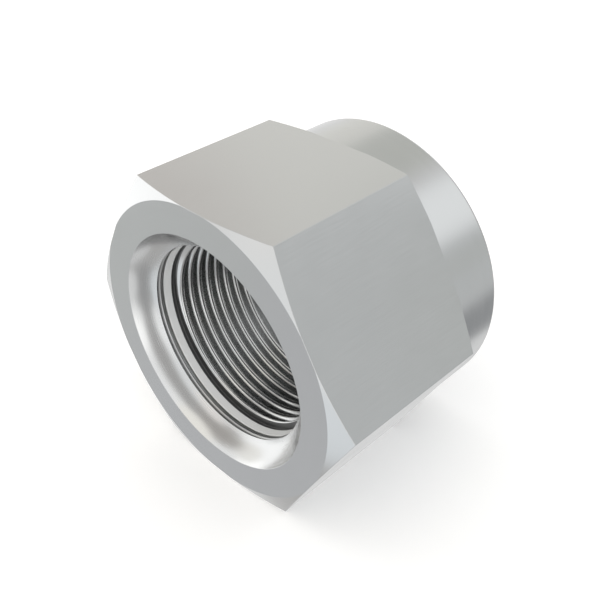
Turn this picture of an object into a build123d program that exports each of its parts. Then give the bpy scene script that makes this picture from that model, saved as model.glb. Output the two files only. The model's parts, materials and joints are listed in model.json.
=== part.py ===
from build123d import *
import math
import os

os.makedirs("parts", exist_ok=True)

# Millimetres. The nut lies on one flat of its hexagon. Its axis is level, along Y, and the mouth
# faces -Y. The origin is at the middle of its length, under the axis, on the surface it lies on.

# Hexagon
across_flats = 33.34  # spanner size, 1 5/16 in
hexagon_length = 19.45  # from the mouth face to the shoulder at the collar
corner_angle = 20.0  # slope of the cones that take off the corners, from a plane square to the axis
mouth_face_overhang = 0.04  # how far the front cone's circle stands outside the flats
shoulder_overhang = 0.43  # the same for the rear cone's circle, on the shoulder

# Collar
collar_step = 0.07  # how far the collar's wall lies inside the flats
collar_length = 7.25
collar_edge_break = 0.65  # 45 degree chamfer on the collar's free edge

# Thread, 7/8 in with 20 turns to the inch: the wall here is the tapped hole, at the crests
thread_major_diameter = 22.225
thread_pitch = 1.27
thread_flank_angle = 30.0  # of the 60 degree form, from a plane square to the axis
thread_crest_flat = 0.25  # width of a crest, as a share of the pitch
thread_root_flat = 0.125  # width of a root, as a share of the pitch
thread_start = 5.0  # from the mouth face to the wall that the thread is cut in
exit_clearance = 0.25  # how far the countersink at the collar's end opens past the thread's roots
exit_angle = 45.0  # slope of that countersink, from the axis

# Mouth
countersink_widening = 2.16  # how far the mouth opens past the entry land, on the radius
countersink_depth = 2.21
countersink_bow = 0.24  # how far the countersink's wall is hollowed, from its chord
entry_clearance = 0.037  # gap round the thread's roots, for the bolt that enters
bead_place = 2.77  # from the mouth face to the top of the rounded bead behind the countersink
bead_radius = 0.3
bead_height = 0.18  # over the fine grooves at both its sides
bead_groove_width = 0.1  # floor of each of those grooves
land_start = 3.2  # from the mouth face to the land behind the bead
land_length = 0.96
land_fall = 0.13  # how far the land's radius narrows over its length

# Undercut between the land and the thread
undercut_depth = 0.16  # below the land's inner end
undercut_flank_angle = 30.0  # its wall at the land, from a plane square to the axis
undercut_wall_angle = 80.0  # its wall at the thread, from the axis
undercut_edge_radius = 0.3  # rounds that wall over into the crests

# Stations along the axis
total_length = hexagon_length + collar_length
front = -total_length / 2
shoulder = front + hexagon_length
back = shoulder + collar_length
countersink_end = front + countersink_depth
bead_top = front + bead_place
land_front = front + land_start
land_back = land_front + land_length
wall_start = front + thread_start

# Outer radii
flat_radius = across_flats / 2
corner_radius = across_flats / math.sqrt(3)
mouth_face_radius = flat_radius + mouth_face_overhang
shoulder_radius = flat_radius + shoulder_overhang
collar_radius = flat_radius - collar_step

# Inner radii
root_radius = thread_major_diameter / 2
flank_width = thread_pitch * (1 - thread_crest_flat - thread_root_flat) / 2
crest_radius = root_radius - flank_width / math.tan(math.radians(thread_flank_angle))
entry_radius = root_radius + entry_clearance
exit_radius = root_radius + exit_clearance
mouth_radius = entry_radius + countersink_widening
land_radius = entry_radius + land_fall
bead_groove_radius = entry_radius + bead_height
bead_half_width = math.sqrt(bead_radius**2 - (bead_radius - bead_height) ** 2)
undercut_radius = entry_radius + undercut_depth
undercut_flank = undercut_depth * math.tan(math.radians(undercut_flank_angle))
wall_slope = math.tan(math.radians(undercut_wall_angle))
edge_rise = undercut_edge_radius * (1 - math.cos(math.radians(undercut_wall_angle)))
edge_length = undercut_edge_radius * math.sin(math.radians(undercut_wall_angle))
wall_length = (undercut_radius - crest_radius - edge_rise) / wall_slope
exit_length = (exit_radius - crest_radius) / math.tan(math.radians(exit_angle))

# The turned cones run on past the corners, by the height of a corner over a flat
blank_radius = corner_radius + corner_radius - flat_radius
cone_slope = math.tan(math.radians(corner_angle))
front_cone_end = front + (blank_radius - mouth_face_radius) * cone_slope
rear_cone_start = shoulder - (blank_radius - shoulder_radius) * cone_slope

# Planes: radius and station for the turned sections, and square to the axis for the others
turning_plane = Plane(origin=(0, 0, flat_radius), x_dir=(1, 0, 0), z_dir=(0, 0, 1))
turning_axis = Axis((0, 0, flat_radius), (0, 1, 0))
mouth_plane = Plane(origin=(0, front, flat_radius), x_dir=(1, 0, 0), z_dir=(0, 1, 0))
shoulder_plane = Plane(origin=(0, shoulder, flat_radius), x_dir=(1, 0, 0), z_dir=(0, 1, 0))

with BuildPart() as lock_nut:
    # Hexagonal bar, one flat up and one flat down
    with BuildSketch(mouth_plane):
        RegularPolygon(radius=flat_radius, side_count=6, major_radius=False)
    extrude(amount=hexagon_length)

    # Turned cones at both ends round off its corners and leave curved edges on the flats
    with BuildSketch(turning_plane):
        with BuildLine():
            Polyline(
                (0, front),
                (mouth_face_radius, front),
                (blank_radius, front_cone_end),
                (blank_radius, rear_cone_start),
                (shoulder_radius, shoulder),
                (0, shoulder),
                close=True,
            )
        make_face()
    revolve(axis=turning_axis, mode=Mode.INTERSECT)

    # Round collar behind the hexagon, with its free edge broken
    with BuildSketch(shoulder_plane):
        Circle(collar_radius)
    extrude(amount=collar_length)
    collar_rim = lock_nut.edges().filter_by(GeomType.CIRCLE).sort_by(Axis.Y)[-1]
    chamfer(collar_rim, length=collar_edge_break)

    # Bore, turned in one section: hollowed countersink, bead between two fine grooves, tapered land,
    # undercut, tapped wall, and the countersink at the far end
    with BuildSketch(turning_plane):
        with BuildLine():
            SagittaArc((entry_radius, countersink_end), (mouth_radius, front), countersink_bow)
            Polyline(
                (entry_radius, countersink_end),
                (bead_groove_radius, bead_top - bead_half_width - bead_groove_width),
                (bead_groove_radius, bead_top - bead_half_width),
            )
            ThreePointArc(
                (bead_groove_radius, bead_top - bead_half_width),
                (entry_radius, bead_top),
                (bead_groove_radius, bead_top + bead_half_width),
            )
            Polyline(
                (bead_groove_radius, bead_top + bead_half_width),
                (land_radius, land_front),
                (entry_radius, land_back),
                (undercut_radius, land_back + undercut_flank),
                (undercut_radius, wall_start - edge_length - wall_length),
                (crest_radius + edge_rise, wall_start - edge_length),
            )
            RadiusArc(
                (crest_radius + edge_rise, wall_start - edge_length),
                (crest_radius, wall_start),
                undercut_edge_radius,
            )
            Polyline(
                (crest_radius, wall_start),
                (crest_radius, back - exit_length),
                (exit_radius, back),
                (0, back),
                (0, front),
                (mouth_radius, front),
            )
        make_face()
    revolve(axis=turning_axis, mode=Mode.SUBTRACT)

lock_nut.part.label = "lock_nut"
export_step(lock_nut.part, "parts/lock_nut.step")
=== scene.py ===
"""Hex lock nut: one piece of bare steel, turned and tapped from hexagonal bar, on a pale studio floor."""

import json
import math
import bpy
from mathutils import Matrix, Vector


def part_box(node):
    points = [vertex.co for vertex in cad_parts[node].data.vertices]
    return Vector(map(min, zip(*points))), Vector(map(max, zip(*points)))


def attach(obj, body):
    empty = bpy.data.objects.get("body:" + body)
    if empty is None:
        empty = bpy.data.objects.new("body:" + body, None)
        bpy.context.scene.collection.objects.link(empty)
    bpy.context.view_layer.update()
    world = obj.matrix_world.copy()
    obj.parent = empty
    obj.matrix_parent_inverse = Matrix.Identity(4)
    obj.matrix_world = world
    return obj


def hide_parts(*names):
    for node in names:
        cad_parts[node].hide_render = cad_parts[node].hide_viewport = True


bl_info = {
    "name": "Hex lock nut",
    "version": (1, 0, 0),
    "blender": (4, 5, 0),
    "location": "3D View > Sidebar > Lock nut",
    "description": "Builds a steel hex lock nut with its thread, and the studio that shows it",
    "category": "Object",
}

from collections import namedtuple

import bmesh
import bpy
import numpy as np
from bpy.props import FloatProperty, FloatVectorProperty, PointerProperty
from mathutils import Matrix

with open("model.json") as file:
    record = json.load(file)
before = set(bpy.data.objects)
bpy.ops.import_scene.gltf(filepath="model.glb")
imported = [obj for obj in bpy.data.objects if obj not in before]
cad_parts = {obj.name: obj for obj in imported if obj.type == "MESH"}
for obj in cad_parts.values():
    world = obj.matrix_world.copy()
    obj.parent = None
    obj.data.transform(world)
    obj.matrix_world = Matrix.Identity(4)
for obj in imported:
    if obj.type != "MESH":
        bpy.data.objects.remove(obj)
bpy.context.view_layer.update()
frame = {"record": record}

# The frame: metres, axis level along Y, mouth towards -Y, lying on one flat at Z = 0
NODE = "lock_nut"
low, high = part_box(NODE)
thread_mount = next(mount for mount in frame["record"]["mounts"] if mount["name"] == "thread")
MM = 0.001

# The 60 degree thread form: flanks from a plane square to the axis, and a root flat as a share of
# the pitch. The crests are rounded from flank to flank.
FLANK_ANGLE = math.radians(30)
ROOT_FLAT = 1 / 16

# Angle that one flat of the hexagon takes up round the axis
SIDE_ANGLE = math.radians(60)

# Small radii at corners that a tool's own edge leaves
THREAD_ROOT_ROUND = 0.03 * MM
COLLAR_CORNER_ROUND = 0.01 * MM
MOUTH_CORNER_ROUND = 0.02 * MM

# How finely the surface is laid out. The rims are the circles where the cones meet the end faces.
# Of the steps in which the thread runs out at the mouth, the last ones get the undercut's painted shade.
SPOKES_PER_FLAT = 42
CORNER_STEPS = 4
CORNER_SPREAD = math.radians(0.25)
RIM_STEPS = 1
EDGE_STEPS = 3
CREST_STEPS = 6
ROOT_STEPS = 1
FLANK_STEPS = 2
RUN_OUT_STEPS = 16
PAINTED_SHADE_RUN_OUT_STEPS = 6
BEAD_STEPS = 10
HOLLOW_STEPS = 14
MERGE_DISTANCE = 0.1e-6


class NutSizes(bpy.types.PropertyGroup):
    """Sizes of the nut, in metres. Its land and thread start a little further in than the solid's."""

    across_flats: FloatProperty(
        name="Across flats", description="Width of the hexagon between opposite flats",
        default=high.z - low.z, min=0, precision=5, unit="LENGTH",
    )
    total_length: FloatProperty(
        name="Length", description="From the mouth face to the collar's end",
        default=high.y - low.y, min=0, precision=5, unit="LENGTH",
    )
    collar_length: FloatProperty(
        name="Collar length", description="From the hexagon's shoulder to the collar's end",
        default=7.25 * MM, min=0, precision=5, unit="LENGTH",
    )
    collar_step: FloatProperty(
        name="Collar step", description="How far the collar's wall lies inside the flats",
        default=0.07 * MM, min=0, precision=5, unit="LENGTH",
    )
    collar_edge_break: FloatProperty(
        name="Collar edge break", description="Chamfer on the collar's free edge",
        default=0.65 * MM, min=0, precision=5, unit="LENGTH",
    )
    collar_round: FloatProperty(
        name="Collar edge round", description="Radius where that chamfer meets the collar's wall",
        default=0.5 * MM, min=0, precision=5, unit="LENGTH",
    )
    corner_angle: FloatProperty(
        name="Corner angle", description="Slope of the cones that take off the hexagon's corners",
        default=math.radians(20), min=0, subtype="ANGLE",
    )
    mouth_face_overhang: FloatProperty(
        name="Mouth face overhang", description="How far the front cone's circle stands outside the flats",
        default=0.04 * MM, min=0, precision=5, unit="LENGTH",
    )
    shoulder_overhang: FloatProperty(
        name="Shoulder overhang", description="How far the rear cone's circle stands outside the flats",
        default=0.43 * MM, min=0, precision=5, unit="LENGTH",
    )
    edge_round: FloatProperty(
        name="Edge round", description="Radius left on every edge by deburring",
        default=0.05 * MM, min=0, precision=5, unit="LENGTH",
    )
    thread_pitch: FloatProperty(
        name="Thread pitch", description="Distance from one turn to the next, 20 turns to the inch",
        default=1.27 * MM, min=0, precision=5, unit="LENGTH",
    )
    crest_radius: FloatProperty(
        name="Crest radius", description="Radius of the tapped hole",
        default=thread_mount["dims"]["r_mm"] * MM, min=0, precision=5, unit="LENGTH",
    )
    root_radius: FloatProperty(
        name="Root radius", description="Radius at the thread's roots",
        default=22.225 * MM / 2, min=0, precision=5, unit="LENGTH",
    )
    exit_clearance: FloatProperty(
        name="Exit clearance", description="How far the collar's countersink opens past the roots",
        default=0.25 * MM, min=0, precision=5, unit="LENGTH",
    )
    countersink_widening: FloatProperty(
        name="Countersink widening", description="How far the mouth opens past the entry land",
        default=2.16 * MM, min=0, precision=5, unit="LENGTH",
    )
    countersink_depth: FloatProperty(
        name="Countersink depth", description="Depth of the hollowed countersink",
        default=2.21 * MM, min=0, precision=5, unit="LENGTH",
    )
    countersink_bow: FloatProperty(
        name="Countersink bow", description="How far its wall is hollowed, from its chord",
        default=0.24 * MM, min=0, precision=5, unit="LENGTH",
    )
    entry_clearance: FloatProperty(
        name="Entry clearance", description="Gap round the thread's roots, for the bolt that enters",
        default=0.037 * MM, min=0, precision=5, unit="LENGTH",
    )
    bead_place: FloatProperty(
        name="Bead place", description="From the mouth face to the top of the turned bead",
        default=2.77 * MM, min=0, precision=5, unit="LENGTH",
    )
    bead_radius: FloatProperty(
        name="Bead radius", description="Radius of the bead's round section",
        default=0.3 * MM, min=0, precision=5, unit="LENGTH",
    )
    bead_height: FloatProperty(
        name="Bead height", description="Height of the bead over the grooves at its sides",
        default=0.18 * MM, min=0, precision=5, unit="LENGTH",
    )
    bead_groove_width: FloatProperty(
        name="Bead groove width", description="Floor of the fine groove before the bead",
        default=0.1 * MM, min=0, precision=5, unit="LENGTH",
    )
    land_start: FloatProperty(
        name="Land start", description="From the mouth face to the tapered land behind the bead",
        default=3.4 * MM, min=0, precision=5, unit="LENGTH",
    )
    land_length: FloatProperty(
        name="Land length", description="Length of that land",
        default=0.76 * MM, min=0, precision=5, unit="LENGTH",
    )
    land_fall: FloatProperty(
        name="Land fall", description="How far the land's radius narrows over its length",
        default=0.13 * MM, min=0, precision=5, unit="LENGTH",
    )
    undercut_depth: FloatProperty(
        name="Undercut depth", description="Depth of the undercut below the land's inner end",
        default=0.16 * MM, min=0, precision=5, unit="LENGTH",
    )
    undercut_wall_angle: FloatProperty(
        name="Undercut wall angle", description="Slope of the undercut's wall at the thread, from the axis",
        default=math.radians(80), min=0, subtype="ANGLE",
    )
    undercut_edge_radius: FloatProperty(
        name="Undercut edge radius", description="Rounds that wall over into the crests",
        default=0.3 * MM, min=0, precision=5, unit="LENGTH",
    )
    thread_start: FloatProperty(
        name="Thread start", description="From the mouth face to the wall that the thread is cut in",
        default=5.03 * MM, min=0, precision=5, unit="LENGTH",
    )
    thread_phase: FloatProperty(
        name="Thread phase", description="From the mouth face to a crest on the nut's +X side",
        default=5.794 * MM, precision=5, unit="LENGTH",
    )


class SteelLook(bpy.types.PropertyGroup):
    """Colour and polish of the bare steel"""

    colour: FloatVectorProperty(
        name="Steel", description="Colour of the bare steel", subtype="COLOR", size=3,
        default=(0.5, 0.505, 0.505), min=0, max=1,
    )
    mark_height: FloatProperty(
        name="Mark height", description="Height of a tool mark of full height",
        default=0.002 * MM, min=0, precision=6, unit="LENGTH",
    )
    shade_change: FloatProperty(
        name="Shade change", description="How much lighter and darker the tool marks are", subtype="FACTOR",
        default=0.015, min=0, max=1,
    )
    roughness_change: FloatProperty(
        name="Roughness change", description="How much rougher and smoother the tool marks are",
        subtype="FACTOR", default=0.12, min=0, max=1,
    )
    cloud_width: FloatProperty(
        name="Cloud width", description="Width of the faint clouds on the steel",
        default=4 * MM, min=0.0001, precision=5, unit="LENGTH",
    )
    cloud_roughness: FloatProperty(
        name="Cloud roughness", description="How much rougher and smoother those clouds are",
        subtype="FACTOR", default=0.02, min=0, max=1,
    )


class StudioLook(bpy.types.PropertyGroup):
    """Floor, light and camera of the studio"""

    floor_colour: FloatVectorProperty(
        name="Floor", description="Colour of the floor", subtype="COLOR", size=3,
        default=(0.9, 0.9, 0.9), min=0, max=1,
    )
    floor_glow: FloatProperty(
        name="Floor glow", description="White that the camera sees on the floor besides its light",
        default=0.15, min=0,
    )
    light_level: FloatProperty(
        name="Light level", description="Brightness of the studio's even light", default=1.0, min=0,
    )
    camera_place: FloatVectorProperty(
        name="Camera", description="Where the camera stands", subtype="TRANSLATION", size=3,
        default=(0.053508, -0.052155, 0.070158), precision=5,
    )
    camera_heading: FloatProperty(
        name="Heading", description="Direction of view, to the left of +Y",
        default=math.radians(45.787), subtype="ANGLE",
    )
    camera_fall: FloatProperty(
        name="Downward tilt", description="How far the view looks down",
        default=math.radians(35.619), subtype="ANGLE",
    )
    camera_roll: FloatProperty(
        name="Roll", description="Turn of the picture about the line of view",
        default=math.radians(-1.463), subtype="ANGLE",
    )
    lens: FloatProperty(
        name="Lens", description="Focal length in millimetres, on a sensor 36 mm wide",
        default=49.92, min=1,
    )


# Surface layout. A section is a list of stations. Each station is a radius and a place along the
# axis, with the two parts of the direction that the surface faces there. The nut's surface has the
# same stations on every spoke, a direction round the axis.


def unit(vector):
    """The vector at length 1, along its last axis."""
    vector = np.asarray(vector, float)
    return vector / np.linalg.norm(vector, axis=-1, keepdims=True)


def facing(step):
    """The side on which the surface lies bare, for a step along the section."""
    return np.array((step[1], -step[0])) / math.hypot(*step)


def turned_over(arriving, leaving, turn, share):
    """The direction a share of the way from arriving to leaving, which stand at an angle of turn."""
    return unit(np.sin((1 - share) * turn) * arriving + np.sin(share * turn) * leaving)


def rounded_section(points, radii, steps):
    """Stations along a section whose inner points are rounded, or smooth where the radius is zero."""
    stations = []
    for before, corner, after, radius in zip(points, points[1:], points[2:], radii):
        arriving = facing(np.subtract(corner, before))
        ahead = np.subtract(after, corner)
        leaving = facing(ahead)
        if radius == 0:
            stations.append((*corner, *unit(arriving + leaving)))
            continue
        outward = -1 if ahead @ arriving > 0 else 1
        turn = math.acos(np.clip(arriving @ leaving, -1, 1))
        middle = np.array(corner) - outward * radius / math.cos(turn / 2) * unit(arriving + leaving)
        for step in range(steps + 1):
            bare = turned_over(arriving, leaving, turn, step / steps)
            stations.append((*(middle + outward * radius * bare), *bare))
    return np.array(stations)


def hollow_wall(start, end, bow, steps):
    """Points along an arc from start to end that stands off its chord by bow, on the metal's side."""
    start, end = np.array(start), np.array(end)
    chord = np.linalg.norm(end - start)
    radius = (chord * chord / 4 + bow * bow) / (2 * bow)
    into_metal = -facing(end - start)
    middle = (start + end) / 2 + (bow - radius) * into_metal
    half_angle = math.asin(chord / 2 / radius)
    along = (end - start) / chord
    turns = np.linspace(-half_angle, half_angle, steps + 1)
    return [tuple(middle + radius * (math.cos(t) * into_metal + math.sin(t) * along)) for t in turns]


def hexagon_spokes():
    """Directions round the axis: on the hexagon's wall, of the flat's face, and on round surfaces."""
    spokes = []
    for side in range(6):
        flat = (side + 0.5) * SIDE_ANGLE
        for step in range(1, SPOKES_PER_FLAT):
            angle = flat + (step / SPOKES_PER_FLAT - 0.5) * SIDE_ANGLE
            spokes.append((angle, flat, angle))

        # At a corner the wall turns on the spot, from flat to flat, while the round surfaces move on
        corner = flat + SIDE_ANGLE / 2
        for step in range(CORNER_STEPS + 1):
            from_flat_to_flat = flat + step / CORNER_STEPS * SIDE_ANGLE
            on_round = corner + (step - CORNER_STEPS / 2) * CORNER_SPREAD
            spokes.append((corner, from_flat_to_flat, on_round))
    spokes.append(tuple(angle + 2 * math.pi for angle in spokes[0]))
    return np.array(spokes)


def place(radius, station, angle):
    """Points at a radius and a place along the axis, in direction angle from the axis."""
    return np.stack(np.broadcast_arrays(radius * np.cos(angle), station, radius * np.sin(angle)), -1)


def hexagon_surface(sizes, spokes):
    """Places and directions from the mouth face, over cone, flat and rear cone, to the shoulder."""
    at, flat = spokes[:, 0], spokes[:, 1]
    apothem = sizes.across_flats / 2
    ball = sizes.edge_round
    front = -sizes.total_length / 2
    shoulder = sizes.total_length / 2 - sizes.collar_length
    slope = math.tan(sizes.corner_angle)
    from_flat = np.abs(at % SIDE_ANGLE - SIDE_ANGLE / 2)
    wall = (apothem - ball) / np.cos(from_flat)
    inset = ball * math.tan(sizes.corner_angle / 2)
    face_edge = np.minimum(apothem + sizes.mouth_face_overhang - inset, wall)
    shoulder_edge = np.minimum(apothem + sizes.shoulder_overhang - inset, wall)
    front_rise = (wall - face_edge) * slope
    rear_fall = (wall - shoulder_edge) * slope

    forward = place(0, -1, at)
    backward = place(0, 1, at)
    flat_way = place(1, 0, flat)
    front_cone = place(math.sin(sizes.corner_angle), -math.cos(sizes.corner_angle), at)
    rear_cone = place(math.sin(sizes.corner_angle), math.cos(sizes.corner_angle), at)

    # A ball of the edge's radius rolls over each edge, from the face before it to the one after it
    places, ways = [], []
    for middle, arriving, leaving, steps in (
        (place(face_edge, front + ball, at), forward, front_cone, RIM_STEPS),
        (place(wall, front + ball + front_rise, at), front_cone, flat_way, EDGE_STEPS),
        (place(wall, shoulder - ball - rear_fall, at), flat_way, rear_cone, EDGE_STEPS),
        (place(shoulder_edge, shoulder - ball, at), rear_cone, backward, RIM_STEPS),
    ):
        turn = np.arccos(np.clip((arriving * leaving).sum(-1), -1, 1))[:, None]
        for step in range(steps + 1):
            way = turned_over(arriving, leaving, turn, step / steps)
            places.append(middle + ball * way)
            ways.append(way)
    return np.stack(places, 1), np.stack(ways, 1)


def turned_surface(stations, angle):
    """Places and directions of a turned section on every spoke."""
    radius, station, out, along = stations.T
    places = place(radius[None, :], station[None, :], angle[:, None])
    ways = place(out[None, :], along[None, :], angle[:, None])
    return places, ways


def thread_form(sizes):
    """One turn's stations, from root to root, at the axial distance from the turn's first root."""
    pitch, root = sizes.thread_pitch, sizes.root_radius
    root_half = ROOT_FLAT * pitch / 2
    apex = root - (pitch / 2 - root_half) / math.tan(FLANK_ANGLE)
    points = [
        (root, root_half),
        (root, -root_half),
        (apex, -pitch / 2),
        (root, root_half - pitch),
        (root, -root_half - pitch),
    ]
    start = rounded_section(points[:3], (THREAD_ROOT_ROUND,), ROOT_STEPS)
    crest = rounded_section(points[1:4], (sizes.crest_radius - apex,), CREST_STEPS)
    end = rounded_section(points[2:], (THREAD_ROOT_ROUND,), ROOT_STEPS)
    shares = np.arange(1, FLANK_STEPS)[:, None] / FLANK_STEPS
    rising = start[-1] + shares * (crest[0] - start[-1])
    falling = crest[-1] + shares * (end[0] - crest[-1])
    return np.concatenate([start, rising, crest, falling, end])


def end_forms(sizes, station):
    """Radius of the undercut's wall or the far countersink at a place along the axis, and its way."""
    front, back = -sizes.total_length / 2, sizes.total_length / 2
    before = front + sizes.thread_start - station
    steep, ball = sizes.undercut_wall_angle, sizes.undercut_edge_radius
    into_round = np.clip(before / ball, 0, math.sin(steep))
    lean = np.arcsin(into_round)
    past_round = before - ball * into_round
    wall = sizes.crest_radius + ball * (1 - np.cos(lean)) + past_round * math.tan(steep)
    wall_way = np.stack([-np.cos(lean), -np.sin(lean), np.zeros_like(lean)], -1)

    # The far countersink slopes at 45 degrees
    far = sizes.root_radius + sizes.exit_clearance - (back - station)
    far_way = (-math.sqrt(0.5), math.sqrt(0.5), 0)
    return np.maximum(wall, far), np.where((wall > far)[..., None], wall_way, far_way)


def thread_surface(sizes, angle, start, end):
    """Places and directions of the right-handed thread, with its ends in the undercut and countersink."""
    pitch, front, back = sizes.thread_pitch, -sizes.total_length / 2, sizes.total_length / 2
    thread_start = front + sizes.thread_start
    thread_end = back - (sizes.root_radius + sizes.exit_clearance - sizes.crest_radius)
    form = thread_form(sizes)
    across = angle[:, None]
    helix = pitch * across / (2 * math.pi)
    crest = front + sizes.thread_phase - helix

    # The last root lies past the thread's end on every spoke, and the first one before its start
    turns_to_end = math.ceil((thread_end - front - sizes.thread_phase) / pitch + 1)
    turns = math.ceil((thread_end - thread_start) / pitch) + 2
    last_root = crest + pitch / 2 + pitch * turns_to_end

    # Stations follow the turns between the ends, and stand still and close together at them
    following = np.concatenate([form[:, 1] - turn * pitch for turn in range(turns)])
    following = np.clip(last_root + following, thread_start, thread_end)
    spokes = len(angle)
    before = np.tile(np.linspace(end, thread_end, RUN_OUT_STEPS, endpoint=False), (spokes, 1))
    after = np.tile(np.linspace(start, thread_start, RUN_OUT_STEPS, endpoint=False)[::-1], (spokes, 1))
    station = np.concatenate([before, following, after], 1)
    along_turn = station - last_root
    radius, out, along = (
        np.interp(along_turn, form[:, 1], form[:, column], period=pitch) for column in (0, 2, 3)
    )
    way = np.stack([out, along, along * pitch / (2 * math.pi) / radius], -1)
    end_radius, end_way = end_forms(sizes, station)
    way = np.where((end_radius > radius)[..., None], end_way, way)
    places = place(np.maximum(radius, end_radius), station, across)
    out, along, around = way[..., 0], way[..., 1], way[..., 2]
    ways = place(out, along, across)
    ways[..., 0] -= around * np.sin(across)
    ways[..., 2] += around * np.cos(across)
    return places, unit(ways)


def collar_stations(sizes):
    """The section from the shoulder over the collar to the far end of the thread."""
    apothem = sizes.across_flats / 2
    back = sizes.total_length / 2
    shoulder = back - sizes.collar_length
    collar = apothem - sizes.collar_step
    exit_radius = sizes.root_radius + sizes.exit_clearance
    points = [
        (apothem, shoulder),
        (collar, shoulder),
        (collar, back - sizes.collar_edge_break),
        (collar - sizes.collar_edge_break, back),
        (exit_radius, back),
        (sizes.crest_radius, back - (exit_radius - sizes.crest_radius)),
    ]
    radii = (COLLAR_CORNER_ROUND, sizes.collar_round, sizes.edge_round, sizes.edge_round)
    return rounded_section(points, radii, EDGE_STEPS)


def mouth_stations(sizes):
    """The section from the undercut's wall at the thread out to the mouth face."""
    front = -sizes.total_length / 2
    edge, fine = sizes.edge_round, MOUTH_CORNER_ROUND
    entry = sizes.root_radius + sizes.entry_clearance
    mouth = entry + sizes.countersink_widening
    sink_end = front + sizes.countersink_depth
    bead_top = front + sizes.bead_place
    groove = entry + sizes.bead_height
    bead_turn = math.acos(1 - sizes.bead_height / sizes.bead_radius)
    bead_half = sizes.bead_radius * math.sin(bead_turn)
    land_start = front + sizes.land_start
    land_end = land_start + sizes.land_length
    undercut = entry + sizes.undercut_depth
    undercut_flank = sizes.undercut_depth * math.tan(FLANK_ANGLE)
    thread_start = front + sizes.thread_start
    steep, ball = sizes.undercut_wall_angle, sizes.undercut_edge_radius
    round_end = (sizes.crest_radius + ball * (1 - math.cos(steep)), thread_start - ball * math.sin(steep))
    wall = (undercut - round_end[0]) / math.tan(steep)
    bead = [
        (entry + sizes.bead_radius * (1 - math.cos(turn)), bead_top + sizes.bead_radius * math.sin(turn))
        for turn in np.linspace(bead_turn, -bead_turn, BEAD_STEPS + 1)
    ]
    hollow = hollow_wall((entry, sink_end), (mouth, front), sizes.countersink_bow, HOLLOW_STEPS)
    points = [
        round_end,
        (undercut, round_end[1] - wall),
        (undercut, land_end + undercut_flank),
        (entry, land_end),
        (entry + sizes.land_fall, land_start),
        (groove, bead_top + bead_half + (land_start - bead_top - bead_half) / 2),
        *bead,
        (groove, bead_top - bead_half - sizes.bead_groove_width),
        *hollow,
        (sizes.across_flats / 2, front),
    ]

    # Zero lets the bead and the hollow pass smoothly from point to point
    bead_radii = [fine] + [0] * (BEAD_STEPS - 1) + [fine]
    hollow_radii = [fine] + [0] * (HOLLOW_STEPS - 1) + [edge]
    radii = (edge, edge, fine, fine, fine, *bead_radii, fine, *hollow_radii)
    return rounded_section(points, radii, EDGE_STEPS)


def mouth_finishes():
    """Finishes of the mouth's stretches, each with its first station and the one past its last. The land's
    finish carries painted light, the bead's and the undercut's painted shade.
    """
    # The land begins at the third rounded corner and ends past the fourth. Five more corners and the
    # bead's inner points lie before the hollow.
    corner = EDGE_STEPS + 1
    land_start, land_end = 3 * corner - 1, 4 * corner
    bead_end = 9 * corner + BEAD_STEPS - 2
    return (
        ("undercut", 0, land_start),
        ("bored_painted_light", land_start, land_end),
        ("formed_painted_shade", land_end, bead_end),
        ("countersunk", bead_end, bead_end + HOLLOW_STEPS),
    )


def nut_surface(sizes):
    """Every place and direction on the nut, spoke by spoke, and the finish from each station on."""
    spokes = hexagon_spokes()
    angle = spokes[:, 2]
    collar_section, mouth_section = collar_stations(sizes), mouth_stations(sizes)
    parts = [
        hexagon_surface(sizes, spokes),
        turned_surface(collar_section, angle),
        thread_surface(sizes, angle, mouth_section[0][1], collar_section[-1][1]),
        turned_surface(mouth_section, angle),
    ]
    places = np.concatenate([part[0] for part in parts], 1)
    ways = np.concatenate([part[1] for part in parts], 1)
    places[..., 2] += sizes.across_flats / 2

    # The flat lies past the mouth face's rim and the rounded edge where the front cone meets it
    hexagon_count, collar_count, thread_count, _ = [part[0].shape[1] for part in parts]
    flat_from = RIM_STEPS + 1 + EDGE_STEPS
    thread_from = hexagon_count + collar_count
    mouth_from = thread_from + thread_count
    # The thread's last steps at the mouth take the undercut's painted shade.
    stretches = [
        ("drawn", flat_from, flat_from + 1),
        ("cut", thread_from, mouth_from - PAINTED_SHADE_RUN_OUT_STEPS),
        ("undercut", mouth_from - PAINTED_SHADE_RUN_OUT_STEPS, mouth_from),
    ]
    for finish, first, last in mouth_finishes():
        stretches.append((finish, mouth_from + first, mouth_from + last))
    finishes = ["turned"] * places.shape[1]
    for finish, first, last in stretches:
        finishes[first:last] = [finish] * (last - first)
    return places, ways, finishes


def nut_mesh(sizes, finish_order):
    """The closed mesh of the nut, which faces exactly as its surfaces do."""
    places, ways, finishes = nut_surface(sizes)
    spokes, stations = places.shape[:2]
    sheet = bmesh.new()
    way_of = sheet.verts.layers.float_vector.new("way")
    corners = []
    for point, way in zip(places.reshape(-1, 3), ways.reshape(-1, 3)):
        corner = sheet.verts.new(point)
        corner[way_of] = way
        corners.append(corner)
    for spoke in range(spokes - 1):
        here, there = spoke * stations, (spoke + 1) * stations
        for station in range(stations):
            following = (station + 1) % stations
            ring = (here + station, here + following, there + following, there + station)
            face = sheet.faces.new([corners[index] for index in ring])
            face.material_index = finish_order.index(finishes[station])
            face.smooth = True
    bmesh.ops.remove_doubles(sheet, verts=sheet.verts, dist=MERGE_DISTANCE)
    if sheet.calc_volume(signed=True) < 0:
        bmesh.ops.reverse_faces(sheet, faces=sheet.faces)
    open_edges = [edge for edge in sheet.edges if len(edge.link_faces) != 2]
    if open_edges:
        raise RuntimeError(f"the nut's surface isn't closed: {len(open_edges)} open edges")
    mesh = bpy.data.meshes.new("lock_nut_surface")
    sheet.to_mesh(mesh)
    sheet.free()
    flat_ways = np.empty(len(mesh.vertices) * 3, np.float32)
    mesh.attributes["way"].data.foreach_get("vector", flat_ways)
    mesh.normals_split_custom_set_from_vertices(flat_ways.reshape(-1, 3))
    mesh.attributes.remove(mesh.attributes["way"])
    return mesh
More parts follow.
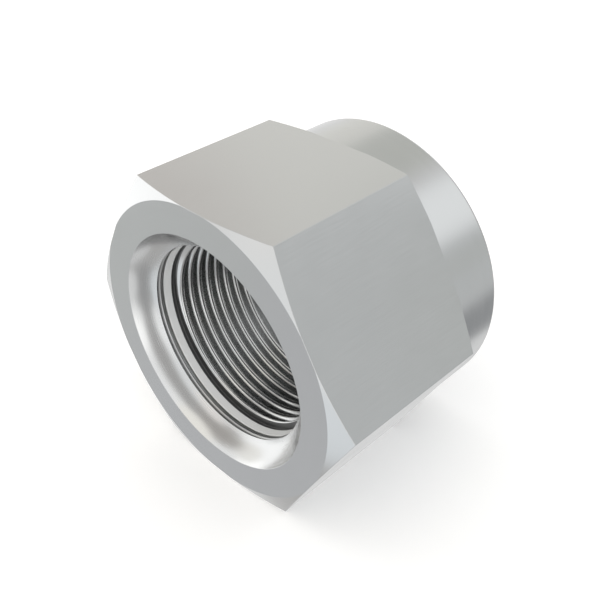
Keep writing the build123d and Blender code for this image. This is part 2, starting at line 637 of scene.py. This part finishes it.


# Steel. Each finish: how rough it is, how wide its tool marks are, how high they are against the
# full height, how metallic it looks, how light it is against the steel's own colour, and how long its
# marks are against their width. Marks of no length run round the axis. The lightness is painted light
# on the land, and painted shade on the bead and in the undercut.
Finish = namedtuple("Finish", "roughness width height metal tone length", defaults=(1, 1, 0))
FINISHES = {
    "turned": Finish(roughness=0.20, width=0.09 * MM, height=0.12),
    "drawn": Finish(roughness=0.20, width=0.11 * MM, height=0.07, length=30),
    "cut": Finish(roughness=0.17, width=0.05 * MM, height=0.08, tone=0.97),
    # The land's light tone and low metal are painted light: they make it lighter than the steel would
    # mirror.
    "bored_painted_light": Finish(roughness=0.50, width=0.07 * MM, height=0.5, metal=0.2, tone=1.7),
    # The bead's darker tone is painted shade for the dark lines at its grooves.
    "formed_painted_shade": Finish(roughness=0.30, width=0.06 * MM, height=0.2, tone=0.75),
    # The undercut's dark tone is painted shade in the recess between the land and the thread.
    "undercut": Finish(roughness=0.40, width=0.06 * MM, height=0.4, tone=0.32),
    "countersunk": Finish(roughness=0.25, width=0.09 * MM, height=0.12),
}
MARK_DETAIL = 4
CLOUD_DETAIL = 2

# The part of a noise's range that most of its values lie in
NOISE_LOW, NOISE_HIGH = 0.3, 0.7


def worked_out(tree, kind, operation, *inputs):
    """A new node of a kind that works out an operation, with each input a socket or a fixed value."""
    node = tree.nodes.new(kind)
    node.operation = operation
    for socket, value in zip(node.inputs, inputs):
        if isinstance(value, bpy.types.NodeSocket):
            tree.links.new(value, socket)
        else:
            socket.default_value = value
    return node


def spread(tree, source, middle, change):
    """Values from below to above the middle, by the source's level."""
    spreading = tree.nodes.new("ShaderNodeMapRange")
    tree.links.new(source, spreading.inputs["Value"])
    spreading.inputs["From Min"].default_value = NOISE_LOW
    spreading.inputs["From Max"].default_value = NOISE_HIGH
    spreading.inputs["To Min"].default_value = middle - change
    spreading.inputs["To Max"].default_value = middle + change
    return spreading.outputs["Result"]


def noise(tree, label, at, width, detail):
    """Level of a noise whose spots are about as wide as said."""
    texture = tree.nodes.new("ShaderNodeTexNoise")
    texture.label = label
    tree.links.new(at, texture.inputs["Vector"])
    texture.inputs["Scale"].default_value = 1 / width
    texture.inputs["Detail"].default_value = detail
    return texture.outputs["Fac"]


def turning_section(tree, position, axis_height):
    """Radius and place along the axis, which are all that marks of turning change with."""
    parts = tree.nodes.new("ShaderNodeSeparateXYZ")
    tree.links.new(position, parts.inputs["Vector"])
    height = worked_out(tree, "ShaderNodeMath", "SUBTRACT", parts.outputs["Z"], axis_height)
    across = tree.nodes.new("ShaderNodeCombineXYZ")
    tree.links.new(parts.outputs["X"], across.inputs["X"])
    tree.links.new(height.outputs["Value"], across.inputs["Z"])
    radius = worked_out(tree, "ShaderNodeVectorMath", "LENGTH", across.outputs["Vector"])
    section = tree.nodes.new("ShaderNodeCombineXYZ")
    tree.links.new(radius.outputs["Value"], section.inputs["X"])
    tree.links.new(parts.outputs["Y"], section.inputs["Y"])
    return section.outputs["Vector"]


def steel(name, look, axis_height):
    """Bare steel with one kind of finish, and with the marks that its tool leaves. The land's finish
    carries painted light in its colour, and the bead's and the undercut's painted shade.
    """
    finish = FINISHES[name]
    material = bpy.data.materials.new(f"{name}_steel")
    material.use_nodes = True
    tree = material.node_tree
    shader = tree.nodes["Principled BSDF"]
    shader.inputs["Metallic"].default_value = finish.metal
    position = tree.nodes.new("ShaderNodeTexCoord").outputs["Object"]
    if finish.length:
        stretch = (1, 1 / finish.length, 1)
        stretched = worked_out(tree, "ShaderNodeVectorMath", "MULTIPLY", position, stretch)
        marks_at = stretched.outputs["Vector"]
    else:
        marks_at = turning_section(tree, position, axis_height)
    marks = noise(tree, "tool marks", marks_at, finish.width, MARK_DETAIL)

    # Broad, faint clouds, as handled bare steel has
    clouds = noise(tree, "clouds", position, look.cloud_width, CLOUD_DETAIL)

    rough_marks = spread(tree, marks, 1, look.roughness_change)
    rough_clouds = spread(tree, clouds, finish.roughness, look.cloud_roughness)
    rough = worked_out(tree, "ShaderNodeMath", "MULTIPLY", rough_marks, rough_clouds)
    tree.links.new(rough.outputs["Value"], shader.inputs["Roughness"])
    # The finish's tone sets how light the colour is: painted light on the land, painted shade on the bead
    # and in the undercut.
    shade_marks = spread(tree, marks, finish.tone, look.shade_change)
    shade_clouds = spread(tree, clouds, 1, look.shade_change / 2)
    shade = worked_out(tree, "ShaderNodeMath", "MULTIPLY", shade_marks, shade_clouds)
    colour = worked_out(tree, "ShaderNodeVectorMath", "SCALE", look.colour)
    tree.links.new(shade.outputs["Value"], colour.inputs["Scale"])
    tree.links.new(colour.outputs["Vector"], shader.inputs["Base Color"])
    bump = tree.nodes.new("ShaderNodeBump")
    bump.inputs["Strength"].default_value = 1
    bump.inputs["Distance"].default_value = finish.height * look.mark_height
    tree.links.new(marks, bump.inputs["Height"])
    tree.links.new(bump.outputs["Normal"], shader.inputs["Normal"])
    return material


# The room round the nut, as a level of light by direction. Each patch has its place, as azimuth
# from +Y towards +X and elevation, the angle out to which it is full, the angle at which it is
# gone, all in degrees, and its colour. Later patches lie over earlier ones.
ROOM_COLOUR = (1.0, 1.0, 1.0)
ROOM_PATCHES = (
    ("wide front light", 180, 5, 66, 84, (1.55, 1.55, 1.55)),
    ("grey card round the mouth", 178, -2, 36, 50, (0.65, 0.64, 0.63)),
    ("grey card below", 180, -78, 20, 32, (0.73, 0.72, 0.71)),
    ("light from straight below", 0, -90, 12, 17, (1.15, 1.15, 1.15)),
    ("grey card, lower right", 152, -46, 16, 28, (0.56, 0.56, 0.56)),
    ("lamp beside the mouth", -147, -2, 5, 16, (1.22, 1.20, 1.17)),
    ("window on the left", -109, -3, 20, 34, (1.90, 1.90, 1.90)),
    ("edge of the window", -94, 18, 12, 20, (2.30, 2.29, 2.26)),
    ("card in the window", -118, 14, 8, 20, (1.52, 1.49, 1.43)),
    ("grey card, upper left", -149, 26, 17, 27, (0.64, 0.61, 0.58)),
    ("warm light above", -170, 62, 14, 26, (1.60, 1.55, 1.45)),
    ("window on the right", 114, -6, 12, 23, (2.00, 1.99, 1.97)),
    ("light at the lower right", 107, -50, 14, 24, (1.25, 1.25, 1.25)),
    ("grey card, lower left", -130, -40, 14, 26, (0.775, 0.785, 0.80)),
    ("grey card, left", -122, -27, 6, 14, (0.80, 0.82, 0.81)),
    ("grey card over the mouth", 177, 33, 4, 13, (0.65, 0.64, 0.63)),
    ("lamp before the mouth", -168, -5, 16, 29, (1.34, 1.355, 1.36)),
    ("warm lamp over the mouth", -160, 9, 6, 14, (1.47, 1.41, 1.35)),
    ("lamp below the mouth", 172, -20, 3, 18, (1.75, 1.75, 1.75)),
    ("lamp at the foot", -174, -42, 7, 16, (1.26, 1.31, 1.35)),
    ("warm wall on the left", -46, 27, 12, 30, (1.07, 1.06, 1.01)),
    ("dim corner on the left", -65, 34, 4, 18, (0.88, 0.83, 0.79)),
    ("dim upper back", -20, 42, 8, 25, (0.82, 0.83, 0.785)),
    ("dim right side", 50, 1, 14, 34, (0.83, 0.85, 0.85)),
    ("grey wall at the right", 44, 3, 4, 9, (0.79, 0.81, 0.795)),
    ("lamp behind", 33, 31, 3, 23, (1.38, 1.40, 1.41)),
    ("dark lower right", 33, -34, 4, 18, (0.46, 0.47, 0.48)),
    ("dark card behind", -4, -12, 14, 24, (0.25, 0.25, 0.25)),
    ("light under the back", -36, -48, 14, 30, (0.86, 0.86, 0.86)),
)
WHITE = (1, 1, 1, 1)

# The floor is a square of this half width, in metres
FLOOR_HALF_WIDTH = 3
FLOOR_SQUARES = 8
FLOOR_ROUGHNESS = 0.8

# The camera's sensor in millimetres, and the nearest distance it sees in metres
SENSOR_WIDTH = 36
NEAREST = 0.001


class LOCKNUT_OT_nut(bpy.types.Operator):
    """Build the nut with its rounded edges, countersunk mouth and helical thread"""

    bl_idname = "lock_nut.make_nut"
    bl_label = "Lock nut"

    def execute(self, context):
        sizes, look = context.scene.lock_nut_sizes, context.scene.lock_nut_steel
        nut = bpy.data.objects.new("lock_nut_steel", nut_mesh(sizes, list(FINISHES)))
        context.scene.collection.objects.link(nut)
        for finish in FINISHES:
            nut.data.materials.append(steel(finish, look, sizes.across_flats / 2))
        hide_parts(NODE)
        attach(nut, "root")
        return {"FINISHED"}


class LOCKNUT_OT_studio(bpy.types.Operator):
    """Lay the floor, set the light and stand the camera"""

    bl_idname = "lock_nut.make_studio"
    bl_label = "Studio"

    def execute(self, context):
        look = context.scene.lock_nut_studio
        lay_floor(context, look)
        set_light(context, look)
        stand_camera(context, look)
        return {"FINISHED"}


def lay_floor(context, look):
    """A wide pale floor at Z = 0."""
    sheet = bmesh.new()
    bmesh.ops.create_grid(
        sheet, x_segments=FLOOR_SQUARES, y_segments=FLOOR_SQUARES, size=FLOOR_HALF_WIDTH
    )
    mesh = bpy.data.meshes.new("floor")
    sheet.to_mesh(mesh)
    sheet.free()
    floor = bpy.data.objects.new("floor", mesh)
    context.scene.collection.objects.link(floor)
    material = bpy.data.materials.new("pale_floor")
    material.use_nodes = True
    tree = material.node_tree
    shader = tree.nodes["Principled BSDF"]
    shader.inputs["Base Color"].default_value = (*look.floor_colour, 1)
    shader.inputs["Roughness"].default_value = FLOOR_ROUGHNESS
    ray = tree.nodes.new("ShaderNodeLightPath")
    glow = worked_out(tree, "ShaderNodeMath", "MULTIPLY", ray.outputs["Is Camera Ray"], look.floor_glow)
    shader.inputs["Emission Color"].default_value = WHITE
    tree.links.new(glow.outputs["Value"], shader.inputs["Emission Strength"])

    # Mirrored rays pass the floor, so that the steel shows the room below it as well
    clear = tree.nodes.new("ShaderNodeBsdfTransparent")
    both = tree.nodes.new("ShaderNodeMixShader")
    tree.links.new(ray.outputs["Is Glossy Ray"], both.inputs["Fac"])
    tree.links.new(shader.outputs["BSDF"], both.inputs[1])
    tree.links.new(clear.outputs["BSDF"], both.inputs[2])
    tree.links.new(both.outputs["Shader"], tree.nodes["Material Output"].inputs["Surface"])
    mesh.materials.append(material)


def mixed(tree, factor, below, above):
    """The colour above laid over the one below, as far as the factor says."""
    blend = tree.nodes.new("ShaderNodeMix")
    blend.data_type = "RGBA"
    tree.links.new(factor, blend.inputs["Factor"])
    if isinstance(below, bpy.types.NodeSocket):
        tree.links.new(below, blend.inputs["A"])
    else:
        blend.inputs["A"].default_value = below
    blend.inputs["B"].default_value = above
    return blend.outputs["Result"]


def set_light(context, look):
    """A pale studio round the nut: an even room, with wide soft patches that are lighter or greyer."""
    world = bpy.data.worlds.new("studio")
    world.use_nodes = True
    tree = world.node_tree
    background = tree.nodes["Background"]
    background.inputs["Strength"].default_value = look.light_level
    direction = tree.nodes.new("ShaderNodeTexCoord").outputs["Generated"]
    room = (*ROOM_COLOUR, 1)
    for name, azimuth, elevation, full, gone, colour in ROOM_PATCHES:
        middle = bearing(azimuth, elevation)
        towards = worked_out(tree, "ShaderNodeVectorMath", "DOT_PRODUCT", direction, middle)
        towards.label = name
        patch = tree.nodes.new("ShaderNodeMapRange")
        patch.interpolation_type = "SMOOTHERSTEP"
        tree.links.new(towards.outputs["Value"], patch.inputs["Value"])
        patch.inputs["From Min"].default_value = math.cos(math.radians(gone))
        patch.inputs["From Max"].default_value = math.cos(math.radians(full))
        room = mixed(tree, patch.outputs["Result"], room, (*colour, 1))
    ray = tree.nodes.new("ShaderNodeLightPath")
    seen = mixed(tree, ray.outputs["Is Camera Ray"], room, WHITE)
    tree.links.new(seen, background.inputs["Color"])
    context.scene.world = world


def bearing(azimuth, elevation):
    """Direction of a place in the room, from its azimuth and elevation in degrees."""
    across, up = math.radians(azimuth), math.radians(elevation)
    return math.sin(across) * math.cos(up), math.cos(across) * math.cos(up), math.sin(up)


def stand_camera(context, look):
    """The camera, placed and tilted as the picture was taken."""
    data = bpy.data.cameras.new("camera")
    data.sensor_fit = "HORIZONTAL"
    data.sensor_width = SENSOR_WIDTH
    data.lens = look.lens
    data.clip_start = NEAREST
    camera = bpy.data.objects.new("camera", data)
    turn = (
        Matrix.Rotation(look.camera_heading, 4, "Z")
        @ Matrix.Rotation(math.pi / 2 - look.camera_fall, 4, "X")
        @ Matrix.Rotation(look.camera_roll, 4, "Z")
    )
    camera.matrix_world = Matrix.Translation(look.camera_place) @ turn
    context.scene.collection.objects.link(camera)
    context.scene.camera = camera
    context.scene.view_settings.view_transform = "Standard"


class LOCKNUT_PT_panel(bpy.types.Panel):
    """Lists the pieces of the nut and the studio"""

    bl_idname = "LOCKNUT_PT_panel"
    bl_label = "Lock nut"
    bl_space_type = "VIEW_3D"
    bl_region_type = "UI"
    bl_category = "Lock nut"

    def draw(self, context):
        layout = self.layout
        layout.operator(LOCKNUT_OT_nut.bl_idname)
        layout.operator(LOCKNUT_OT_studio.bl_idname)
        for group in ("lock_nut_sizes", "lock_nut_steel", "lock_nut_studio"):
            box = layout.box()
            settings = getattr(context.scene, group)
            for name in settings.__annotations__:
                box.prop(settings, name)


CLASSES = (
    NutSizes, SteelLook, StudioLook, LOCKNUT_OT_nut, LOCKNUT_OT_studio, LOCKNUT_PT_panel,
)


def register():
    for each in CLASSES:
        bpy.utils.register_class(each)
    bpy.types.Scene.lock_nut_sizes = PointerProperty(type=NutSizes)
    bpy.types.Scene.lock_nut_steel = PointerProperty(type=SteelLook)
    bpy.types.Scene.lock_nut_studio = PointerProperty(type=StudioLook)


def unregister():
    del bpy.types.Scene.lock_nut_studio
    del bpy.types.Scene.lock_nut_steel
    del bpy.types.Scene.lock_nut_sizes
    for each in reversed(CLASSES):
        bpy.utils.unregister_class(each)


def main():
    """Builds the nut and its studio."""
    register()
    bpy.ops.lock_nut.make_nut()
    bpy.ops.lock_nut.make_studio()


if __name__ == "__main__":
    main()
